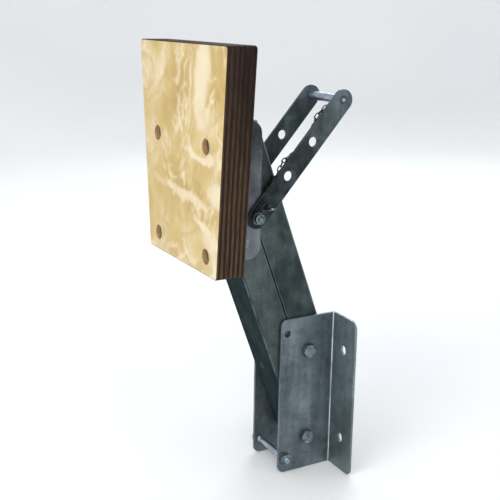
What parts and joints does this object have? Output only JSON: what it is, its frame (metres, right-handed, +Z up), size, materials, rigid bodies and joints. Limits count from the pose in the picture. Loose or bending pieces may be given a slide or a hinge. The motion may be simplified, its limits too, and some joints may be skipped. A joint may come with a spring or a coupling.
{
  "type": "outboard motor bracket",
  "caption": "Lifting bracket for a small outboard motor: transom angles, parallel arms, a plywood motor pad, and a pierced handle with a locking pin on a chain.",
  "frame": {"origin": "middle of the transom mounting plane: the back faces of the two flanges, at mid height, on the middle plane", "axes": "+X inboard, into the boat, so the motor pad is at -X; +Z up; +Y to the left when looking inboard"},
  "size_m": [0.2405, 0.265, 0.6226],
  "materials": {
    "galvanised_plate": "hot-dip galvanised, mottled",
    "galvanised_bar": "hot-dip galvanised, dull",
    "zinc_fastener": "zinc plated",
    "dark_chain": "dull, weathered",
    "plywood": "varnished softwood plywood"
  },
  "bodies": {
    "transom_frame": {"tie_rod": "zinc_fastener", "tie_rod_nut_left": "zinc_fastener", "tie_rod_nut_right": "zinc_fastener", "transom_angle_left": "galvanised_plate", "transom_angle_right": "galvanised_plate", "transom_lower_bolt": "zinc_fastener", "transom_lower_nut": "zinc_fastener", "transom_lower_washer": "zinc_fastener", "transom_upper_bolt": "zinc_fastener", "transom_upper_nut": "zinc_fastener", "transom_upper_washer": "zinc_fastener"},
    "lower_arm": {"lower_arm": "galvanised_plate", "lower_arm_pad_sleeve": "zinc_fastener", "lower_arm_transom_sleeve": "zinc_fastener"},
    "upper_arm": {"upper_arm": "galvanised_plate", "upper_arm_pad_sleeve": "zinc_fastener", "upper_arm_transom_sleeve": "zinc_fastener"},
    "pad": {"handle_nut_left": "zinc_fastener", "handle_nut_right": "zinc_fastener", "handle_screw_left": "zinc_fastener", "handle_screw_right": "zinc_fastener", "handle_washer_left": "zinc_fastener", "handle_washer_right": "zinc_fastener", "pad_angle_left": "galvanised_plate", "pad_angle_right": "galvanised_plate", "pad_back_board": "plywood", "pad_bolt_lower_left": "zinc_fastener", "pad_bolt_lower_right": "zinc_fastener", "pad_bolt_upper_left": "zinc_fastener", "pad_bolt_upper_right": "zinc_fastener", "pad_front_board": "plywood", "pad_lower_bolt": "zinc_fastener", "pad_lower_nut": "zinc_fastener", "pad_lower_washer": "zinc_fastener", "pad_nut_lower_left": "zinc_fastener", "pad_nut_lower_right": "zinc_fastener", "pad_nut_upper_left": "zinc_fastener", "pad_nut_upper_right": "zinc_fastener", "pad_upper_bolt": "zinc_fastener", "pad_upper_nut": "zinc_fastener", "pad_upper_washer": "zinc_fastener", "pad_washer_lower_left": "zinc_fastener", "pad_washer_lower_right": "zinc_fastener", "pad_washer_upper_left": "zinc_fastener", "pad_washer_upper_right": "zinc_fastener"},
    "handle": {"chain_shackle": "dark_chain", "grip_rod": "zinc_fastener", "handle_bar_left": "galvanised_bar", "handle_bar_right": "galvanised_bar", "pin_chain": "dark_chain"},
    "locking_pin": {"locking_pin": "zinc_fastener", "pin_ring": "dark_chain"}
  },
  "joints": [
    {"name": "lower_arm_fold", "type": "hinge", "parent": "transom_frame", "child": "lower_arm", "pos_m": [-0.0463, 0, -0.0677], "axis": [0, -1, 0], "range_deg": [0, 64]},
    {"name": "upper_arm_fold", "type": "hinge", "parent": "transom_frame", "child": "upper_arm", "pos_m": [-0.0463, 0, 0.0677], "axis": [0, -1, 0], "range_deg": [0, 64]},
    {"name": "pad_level", "type": "hinge", "parent": "lower_arm", "child": "pad", "pos_m": [-0.16093, 0, 0.24218], "axis": [0, -1, 0], "range_deg": [-64, 0]},
    {"name": "handle_swing", "type": "hinge", "parent": "pad", "child": "handle", "pos_m": [-0.1368, 0, 0.2728], "axis": [0, -1, 0], "range_deg": [-8.3, 20]},
    {"name": "pin_pull", "type": "slide", "parent": "handle", "child": "locking_pin", "axis": [0, -1, 0], "range_m": [0, 0.014]}
  ],
  "couplings": [
    {"joint": "upper_arm_fold", "follows": "lower_arm_fold", "ratio": 1},
    {"joint": "pad_level", "follows": "lower_arm_fold", "ratio": -1}
  ]
}
